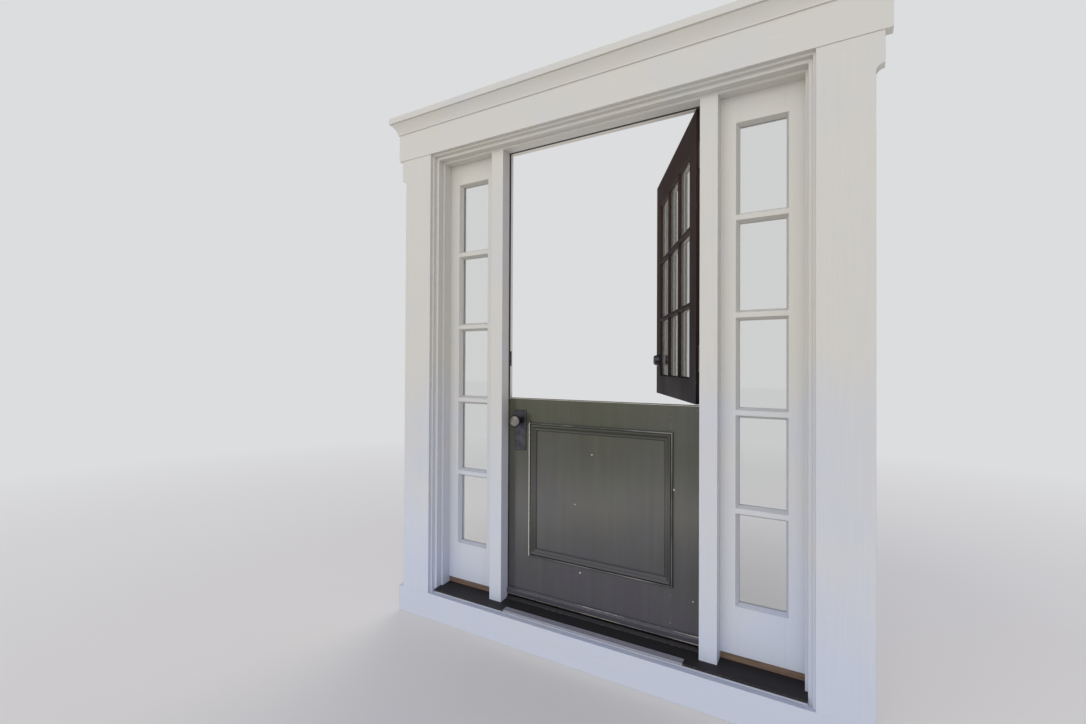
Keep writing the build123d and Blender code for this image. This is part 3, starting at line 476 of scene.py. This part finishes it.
FINISHES = {
    trim_upright: "pilaster_left pilaster_right casing_left casing_right outer_jamb_left outer_jamb_right "
    "sidelight_stiles_left sidelight_stiles_right sidelight_beads_left sidelight_beads_right",
    trim_level: "riser_board sub_sill frieze crown casing_head sidelight_rails_left sidelight_rails_right",
    post_paint: "post_left post_right",
    head_paint: "head_jamb",
    lower_upright: "lower_hinge_stile lower_latch_stile lower_panel",
    lower_level: "lower_top_rail lower_bottom_rail",
    moulding_paint: "panel_mouldings",
    drip_paint: "drip_strip",
    upper_upright: "upper_hinge_stile upper_latch_stile upper_muntins",
    upper_level: "upper_top_rail upper_bottom_rail",
    bead_paint: "upper_beads",
    sill_paint: "sill threshold",
    bare_wood: "sidelight_sill_strips",
    nosing_metal: "sill_nosing",
    glass: "sidelight_glass_left sidelight_glass_right upper_glass",
    rubber: "weatherstrips door_sweep",
    steel: "frame_hinge_leaves hinge_pins lower_hinge_leaves upper_hinge_leaves latch_bolt deadbolt_bolt "
    "leaf_bolt latch_case deadbolt_case knob_spindle",
    dark_bronze: "knob_plates deadbolt_roses deadbolt_turn strike_plates leaf_bolt_plate bolt_keeper",
    pewter: "knobs",
}
for finish, names in FINISHES.items():
    for name in names.split():
        for place in NODES[name].material_slots:
            place.material = finish


# Added pieces
def baked(shape, name):
    """A mesh from a bmesh, which is then let go."""
    mesh = bpy.data.meshes.new(name)
    shape.to_mesh(mesh)
    shape.free()
    return mesh


def link_piece(name, mesh, material, body):
    """A plain mesh at the origin that rides on a body."""
    mesh.materials.clear()
    mesh.materials.append(material)
    piece = bpy.data.objects.new(name, mesh)
    SCENE.collection.objects.link(piece)
    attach(piece, body)
    return piece


def turned(outline, steps):
    """A bmesh turned about Z from (radius, height) points."""
    shape = bmesh.new()
    line = [shape.verts.new((radius, 0, height)) for radius, height in outline]
    edges = [shape.edges.new(pair) for pair in zip(line, line[1:])]
    bmesh.ops.spin(shape, geom=line + edges, cent=(0, 0, 0), axis=(0, 0, 1), angle=math.tau, steps=steps)
    bmesh.ops.remove_doubles(shape, verts=shape.verts, dist=0.01 * MM)
    bmesh.ops.recalc_face_normals(shape, faces=shape.faces)
    return shape


def swept(name, runs):
    """A mesh of solid strips; each run is a list of sections, and each section a list of places."""
    shape = bmesh.new()
    for sections in runs:
        rings = [[shape.verts.new(place) for place in section] for section in sections]
        for near, far in zip(rings, rings[1:]):
            for i in range(len(near)):
                j = (i + 1) % len(near)
                shape.faces.new((near[i], near[j], far[j], far[i]))
        shape.faces.new(rings[0])
        shape.faces.new(rings[-1])
    bmesh.ops.recalc_face_normals(shape, faces=shape.faces)
    return baked(shape, name)


def cut(shape, place, normal):
    """Splits a whole bmesh along a plane."""
    geometry = shape.verts[:] + shape.edges[:] + shape.faces[:]
    bmesh.ops.bisect_plane(shape, geom=geometry, plane_co=place, plane_no=normal)


def curve(start, middle, end, steps):
    """Points along a smooth bend between two places."""
    points = []
    for i in range(steps + 1):
        t = i / steps
        bend = zip(start, middle, end)
        points.append(tuple((1 - t) ** 2 * a + 2 * t * (1 - t) * b + t * t * c for a, b, c in bend))
    return points


# Knobs as turned metal, in millimetres: collar, slim neck, flared back, rolled rim and a domed face
KNOB_OUTLINE = (
    [(0, 5.3), (16, 5.3)]
    + curve((16, 8.8), (16, 10.3), (14.5, 10.3), 4)
    + curve((13, 10.6), (11, 14), (11, 22), 8)
    + curve((11, 23), (11.5, 37), (22, 42), 12)
    + curve((23, 42.4), (28, 44), (29.4, 47.6), 6)
    + curve((29.8, 48.6), (31, 53.6), (26.8, 54), 8)
    + curve((26.2, 54), (24.2, 54), (23.6, 52.8), 4)
    + curve((23, 52.4), (22, 52.6), (21.4, 53.6), 4)
    + curve((20.8, 54.4), (13, 56.9), (0, 56.9), 10)
)
KNOB_STEPS = 64


def turned_knobs():
    """Both knobs of the lower leaf."""
    both = bmesh.new()
    for face, quarter in ((LEAF_FACE, 90), (LEAF_BACK, -90)):
        knob = turned([(radius * MM, height * MM) for radius, height in KNOB_OUTLINE], KNOB_STEPS)
        turn = Matrix.Rotation(math.radians(quarter), 4, "X")
        knob.transform(Matrix.Translation((KNOB_X, face, KNOB_HEIGHT)) @ turn)
        both.from_mesh(baked(knob, "knob"))
    for face in both.faces:
        face.smooth = True
    knobs = link_piece("turned_knobs", baked(both, "turned knobs"), pewter, "knob")
    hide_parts("knobs")


turned_knobs()


# Bulb seal on the face that the leaves close on: pressed flat by the lower leaf, full where the upper one is open
SEAL_PROUD = 1.2 * MM
SEAL_WIDTH = 11 * MM
SEAL_FULL = 17 * MM
SEAL_PRESSED = 3.7 * MM
SEAL_SHOULDER = 0.45
SEAL_STEPS = 10


def bulb_seal(name, depth, paths):
    """A D-shaped rubber section along paths on the doorway's edge, mitred at their corners.

    Each place on a path is (side, height, over), where over is 1 at a corner under the head and 0 elsewhere.
    """
    half = SEAL_WIDTH / 2
    middle = half - SEAL_PROUD
    section = [(middle + half, 0)]
    for i in range(SEAL_STEPS + 1):
        angle = math.pi * i / SEAL_STEPS
        rise = SEAL_SHOULDER + (1 - SEAL_SHOULDER) * math.sin(angle)
        section.append((middle + half * math.cos(angle), depth * rise))
    section.append((middle - half, 0))
    runs = [
        [
            [(side * (DOORWAY_HALF + out), STOP_BACK + back, height + over * out) for out, back in section]
            for side, height, over in path
        ]
        for path in paths
    ]
    return link_piece(name, swept(name, runs), rubber, "frame")


seal_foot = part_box("weatherstrips")[0][2]
seal_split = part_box("lower_top_rail")[1][2] + MM
pressed = bulb_seal(
    "pressed_seal", SEAL_PRESSED, [[(side, seal_foot, 0), (side, seal_split - MM, 0)] for side in (-1, 1)]
)
full = bulb_seal(
    "full_seal", SEAL_FULL, [[(-1, seal_split, 0), (-1, DOORWAY_HEIGHT, 1), (1, DOORWAY_HEIGHT, 1), (1, seal_split, 0)]]
)
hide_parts("weatherstrips")
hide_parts("weatherstrips")
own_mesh(full)


# Strip on the head jamb's inner face, just above the upper leaf's top
LINING_DEPTH = 17 * MM
LINING_ROUND = 4 * MM
LINING_STEPS = 6


def head_lining():
    """A board with one rounded arris, across the doorway and both posts."""
    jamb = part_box("head_jamb")
    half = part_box("post_right")[1][0]
    front, foot, top = jamb[1][1], DOORWAY_HEIGHT + STOP_LIP, jamb[1][2]
    back = front + LINING_DEPTH
    bend = curve((back, top - LINING_ROUND), (back, top), (back - LINING_ROUND, top), LINING_STEPS)
    section = [(front, foot), (back - MM, foot), (back, foot + MM)] + bend + [(front, top)]
    run = [[(x, y, z) for y, z in section] for x in (-half, half)]
    link_piece("head_lining", swept("head_lining", [run]), lining_paint, "frame")


head_lining()


# Screws, set by Geometry Nodes on points where the hardware is fixed
HEAD_RIM = -0.2 * MM
HEAD_DOME = ((1.0, 0.05), (0.8, 0.25), (0.4, 0.38), (0, 0.42))
HEAD_STEPS = 24
SLOT_SHARE = 0.12
SLOT_DEPTH = 0.3 * MM


def screw_head(radius):
    """A countersunk head with a straight slot across its low dome."""
    shape = turned([(radius, HEAD_RIM)] + [(share * radius, height * MM) for share, height in HEAD_DOME], HEAD_STEPS)
    slot_half = SLOT_SHARE * radius
    for across in (-slot_half, slot_half):
        cut(shape, (0, across, 0), (0, 1, 0))
    for vert in shape.verts:
        if abs(vert.co.y) <= slot_half + 0.001 * MM and vert.co.z > 0:
            vert.co.z -= SLOT_DEPTH
    return baked(shape, "screw head")


def screw_tree():
    """A node group that stands a copy of the head on every point, each turned its own way."""
    tree = bpy.data.node_groups.new("screws", "GeometryNodeTree")
    for name, way, kind in (
        ("Points", "INPUT", "Geometry"),
        ("Head", "INPUT", "Object"),
        ("Lean", "INPUT", "Rotation"),
        ("Finish", "INPUT", "Material"),
        ("Screws", "OUTPUT", "Geometry"),
    ):
        tree.interface.new_socket(name, in_out=way, socket_type="NodeSocket" + kind)
    given = tree.nodes.new("NodeGroupInput")
    result = tree.nodes.new("NodeGroupOutput")
    head = tree.nodes.new("GeometryNodeObjectInfo")
    spin = tree.nodes.new("FunctionNodeRandomValue")
    spin.data_type = "FLOAT_VECTOR"
    spin.inputs["Min"].default_value = (0, 0, 0)
    spin.inputs["Max"].default_value = (0, 0, math.pi)
    local = tree.nodes.new("FunctionNodeEulerToRotation")
    lean = tree.nodes.new("FunctionNodeRotateRotation")
    lean.rotation_space = "LOCAL"
    stand = tree.nodes.new("GeometryNodeInstanceOnPoints")
    real = tree.nodes.new("GeometryNodeRealizeInstances")
    finish = tree.nodes.new("GeometryNodeSetMaterial")
    for source, target in (
        (given.outputs["Points"], stand.inputs["Points"]),
        (given.outputs["Head"], head.inputs["Object"]),
        (head.outputs["Geometry"], stand.inputs["Instance"]),
        (spin.outputs["Value"], local.inputs[0]),
        (given.outputs["Lean"], lean.inputs[0]),
        (local.outputs[0], lean.inputs[1]),
        (lean.outputs[0], stand.inputs["Rotation"]),
        (stand.outputs[0], real.inputs[0]),
        (real.outputs[0], finish.inputs["Geometry"]),
        (given.outputs["Finish"], finish.inputs["Material"]),
        (finish.outputs[0], result.inputs[0]),
    ):
        tree.links.new(source, target)
    return tree


SCREWS = screw_tree()
SCREW_NAMES = {item.name: item.identifier for item in SCREWS.interface.items_tree if item.in_out == "INPUT"}


def screws(name, places, facing, radius, material, body, slot):
    """Screw heads on a body, all facing one way."""
    points = bpy.data.meshes.new("points")
    points.from_pydata(places, [], [])
    holder = bpy.data.objects.new("points", points)
    head = bpy.data.objects.new("head", screw_head(radius))
    SCENE.collection.objects.link(holder)
    SCENE.collection.objects.link(head)
    modifier = holder.modifiers.new("screws", "NODES")
    modifier.node_group = SCREWS
    modifier[SCREW_NAMES["Head"]] = head
    modifier[SCREW_NAMES["Lean"]] = Vector(facing).to_track_quat("Z", "Y").to_euler()
    modifier[SCREW_NAMES["Finish"]] = material
    view = bpy.context.evaluated_depsgraph_get()
    mesh = bpy.data.meshes.new_from_object(holder.evaluated_get(view))
    holder.modifiers.remove(modifier)
    bpy.data.objects.remove(holder)
    bpy.data.objects.remove(head)
    link_piece(name, mesh, material, body)


# Three to a hinge plate, staggered: depth and rise of each, in millimetres
HINGE_SCREWS = ((132, -38), (122, 0), (132, 38))


def on_hinges(x, heights):
    """Places of the screws of several hinge plates."""
    return [Vector((x, y * MM, height + rise * MM)) for height in heights for y, rise in HINGE_SCREWS]


def ends(x, y, height, reach):
    """Two places above and below a fitting's middle."""
    return [Vector((x, y, height + reach)), Vector((x, y, height - reach))]


def opened(places):
    """Places on the shut upper leaf, moved to where it stands open."""
    return [OPENED @ place for place in places]


FLUSH = 0.1 * MM
RIGHT = Vector((1, 0, 0))
OUT = Vector((0, -1, 0))
OPENED_RIGHT = OPENED.to_3x3() @ RIGHT
LEAF_PLATE_X = LEAF_HALF - FLUSH
FRAME_PLATE_X = RABBET_HALF + FLUSH
KNOB_PLATE_FRONT = LEAF_FACE - KNOB_PLATE_DEPTH + FLUSH
KNOB_PLATE_INSIDE = LEAF_BACK + KNOB_PLATE_DEPTH - FLUSH
LARGE = 4 * MM
SMALL = 3.5 * MM

# How far a fitting's screws stand from its middle
KNOB_PLATE_REACH = 82 * MM
LATCH_REACH = 57 * MM
DEADBOLT_REACH = 21 * MM
STRIKE_REACH = 27 * MM

for row in (
    (
        "frame_hinge_screws", on_hinges(FRAME_PLATE_X, LOWER_HINGES + UPPER_HINGES),
        -RIGHT, LARGE, steel, "frame", "hinge_steel",
    ),
    (
        "lower_hinge_screws", on_hinges(LEAF_PLATE_X, LOWER_HINGES),
        RIGHT, LARGE, steel, "lower_leaf", "hinge_steel",
    ),
    (
        "upper_hinge_screws", opened(on_hinges(LEAF_PLATE_X, UPPER_HINGES)),
        OPENED_RIGHT, LARGE, steel, "upper_leaf", "hinge_steel",
    ),
    (
        "knob_plate_screws_outside", ends(KNOB_X, KNOB_PLATE_FRONT, KNOB_PLATE_HEIGHT, KNOB_PLATE_REACH),
        OUT, LARGE, dark_bronze, "lower_leaf", "dark_bronze",
    ),
    (
        "knob_plate_screws_inside", ends(KNOB_X, KNOB_PLATE_INSIDE, KNOB_PLATE_HEIGHT, KNOB_PLATE_REACH),
        -OUT, LARGE, dark_bronze, "lower_leaf", "dark_bronze",
    ),
    (
        "latch_plate_screws", ends(-LEAF_PLATE_X, LEAF_MIDDLE, KNOB_HEIGHT, LATCH_REACH),
        -RIGHT, SMALL, steel, "lower_leaf", "bolt_steel",
    ),
    (
        "deadbolt_plate_screws", opened(ends(-LEAF_PLATE_X, LEAF_MIDDLE, DEADBOLT_HEIGHT, DEADBOLT_REACH)),
        -OPENED_RIGHT, SMALL, steel, "upper_leaf", "bolt_steel",
    ),
    (
        "strike_screws",
        ends(-FRAME_PLATE_X, LEAF_MIDDLE, KNOB_HEIGHT, STRIKE_REACH)
        + ends(-FRAME_PLATE_X, LEAF_MIDDLE, DEADBOLT_HEIGHT, STRIKE_REACH),
        RIGHT, SMALL, dark_bronze, "frame", "dark_bronze",
    ),
):
    screws(*row)


# Key plug in the deadbolt's collar, with its slot
PLUG_OUTLINE = [(10.5 * MM, 0), (10.5 * MM, 1.6 * MM), (10.0 * MM, 2.0 * MM), (0, 2.0 * MM)]
PLUG_STEPS = 32
KEYWAY_HALF_WIDTH = 1.1 * MM
KEYWAY_HALF_HEIGHT = 4.5 * MM
KEYWAY_DEPTH = 1.4 * MM


def key_plug():
    """A flat plug with rounded rim, and a dark slot cut in it."""
    shape = turned(PLUG_OUTLINE, PLUG_STEPS)
    for normal, reach in ((RIGHT, KEYWAY_HALF_WIDTH), (-OUT, KEYWAY_HALF_HEIGHT)):
        for way in (-1, 1):
            cut(shape, normal * reach * way, normal)
    slot = []
    for face in shape.faces:
        centre = face.calc_center_median()
        if abs(centre.x) < KEYWAY_HALF_WIDTH and abs(centre.y) < KEYWAY_HALF_HEIGHT and face.normal.z > 0.9:
            slot.append(face)
    sunk = bmesh.ops.extrude_face_region(shape, geom=slot)
    moved = [item for item in sunk["geom"] if isinstance(item, bmesh.types.BMVert)]
    bmesh.ops.translate(shape, verts=moved, vec=(0, 0, -KEYWAY_DEPTH))
    bmesh.ops.delete(shape, geom=slot, context="FACES")
    place = Matrix.Translation((DEADBOLT_X, LEAF_FACE - COLLAR_DEPTH, DEADBOLT_HEIGHT))
    shape.transform(OPENED @ place @ Matrix.Rotation(math.pi / 2, 4, "X"))
    link_piece("key_plug", baked(shape, "key plug"), steel, "upper_leaf")


key_plug()


# Floor, world and lamps
BACKDROP = "#DCDDDE"
FLOOR_REACH = 30.0

# Suns: name, direction, spread in degrees, power, colour, and whether the object mirrors them
SUNS = (
    ("key light", (0.25, 1.0, -0.35), 70, 0.8, (1, 1, 1), True),
    ("side light", (-0.75, 0.7, -0.25), 60, 0.35, (1, 1, 1), True),
    ("room light", (0.2, -1.0, -0.45), 60, 1.35, (1, 0.92, 0.72), False),
    ("front light", (0.1, 1.0, -0.1), 90, 0.68, (1, 0.88, 0.33), False),
)


def make_floor():
    """A plain pale floor that fades into the backdrop, with the light that it throws back set by itself."""
    m = start_material("pale floor")
    place = add(m, "TexCoord").outputs["Object"]
    away = add(m, "VectorMath", {0: place}, operation="LENGTH").outputs["Value"]
    fade = ramp(m, away, 2.2, 7.0)
    lit = add(m, "BsdfPrincipled", {"Base Color": linear("#E4E0D6"), "Roughness": 0.9})
    far = add(m, "Emission", {"Color": linear(BACKDROP), "Strength": 1.0})
    shown = add(m, "MixShader", {0: fade, 1: lit.outputs[0], 2: far.outputs[0]})
    bounce = add(m, "Emission", {"Color": linear("#E3E1E0"), "Strength": 0.84})
    nearer = ramp(m, away, 1.0, 2.2, 0.7, 2.4)
    farther = ramp(m, away, 2.6, 4.4, 1.0, 0.35)
    glow = add(m, "Math", {0: nearer, 1: farther}, operation="MULTIPLY").outputs[0]
    sunlit = add(m, "Emission", {"Color": linear("#E6E4E6"), "Strength": glow})
    path = add(m, "LightPath")
    seen = most(m, [path.outputs["Is Camera Ray"], path.outputs["Is Transmission Ray"]])
    unseen = add(m, "MixShader", {0: path.outputs["Is Glossy Ray"], 1: bounce.outputs[0], 2: sunlit.outputs[0]})
    finish_material(m, add(m, "MixShader", {0: seen, 1: unseen.outputs[0], 2: shown.outputs[0]}))
    mesh = bpy.data.meshes.new("floor")
    corners = [(x * FLOOR_REACH, y * FLOOR_REACH, -MM) for x, y in ((-1, -1), (1, -1), (1, 1), (-1, 1))]
    mesh.from_pydata(corners, [], [(0, 1, 2, 3)])
    mesh.materials.append(m)
    floor = bpy.data.objects.new("floor", mesh)
    SCENE.collection.objects.link(floor)


def make_world():
    """Even bluish light, a plain backdrop, and a darker room for what mirrors towards the house."""
    world = bpy.data.worlds.new("studio")
    world.use_nodes = True
    world.node_tree.nodes.clear()
    path = add(world, "LightPath")
    direction = add(world, "SeparateXYZ", {"Vector": add(world, "TexCoord").outputs["Generated"]})
    indoors = ramp(world, direction.outputs["Y"], -0.1, 0.35)
    mirrored = add(world, "Mix", {0: indoors, 6: linear(BACKDROP), 7: linear("#6C6865")}, data_type="RGBA")
    seen = most(world, [path.outputs["Is Camera Ray"], path.outputs["Is Transmission Ray"]])
    light = add(world, "Background", {"Color": linear("#D5DDFF"), "Strength": 0.66})
    reflected = add(world, "Background", {"Color": mirrored.outputs[2], "Strength": 1.0})
    backdrop = add(world, "Background", {"Color": linear(BACKDROP), "Strength": 1.0})
    lit = add(world, "MixShader", {0: path.outputs["Is Glossy Ray"], 1: light.outputs[0], 2: reflected.outputs[0]})
    both = add(world, "MixShader", {0: seen, 1: lit.outputs[0], 2: backdrop.outputs[0]})
    add(world, "OutputWorld", {"Surface": both.outputs[0]})
    SCENE.world = world


def make_suns():
    """Wide, soft suns: three on the front and one on the back."""
    for name, direction, spread, power, tint, mirrored in SUNS:
        data = bpy.data.lights.new(name, "SUN")
        data.angle = math.radians(spread)
        data.energy = power
        data.color = tint
        lamp = bpy.data.objects.new(name, data)
        lamp.visible_transmission = False
        lamp.visible_glossy = mirrored
        lamp.rotation_euler = Vector(direction).to_track_quat("-Z", "Y").to_euler()
        SCENE.collection.objects.link(lamp)


make_floor()
make_world()
make_suns()
SCENE.view_settings.view_transform = "Standard"
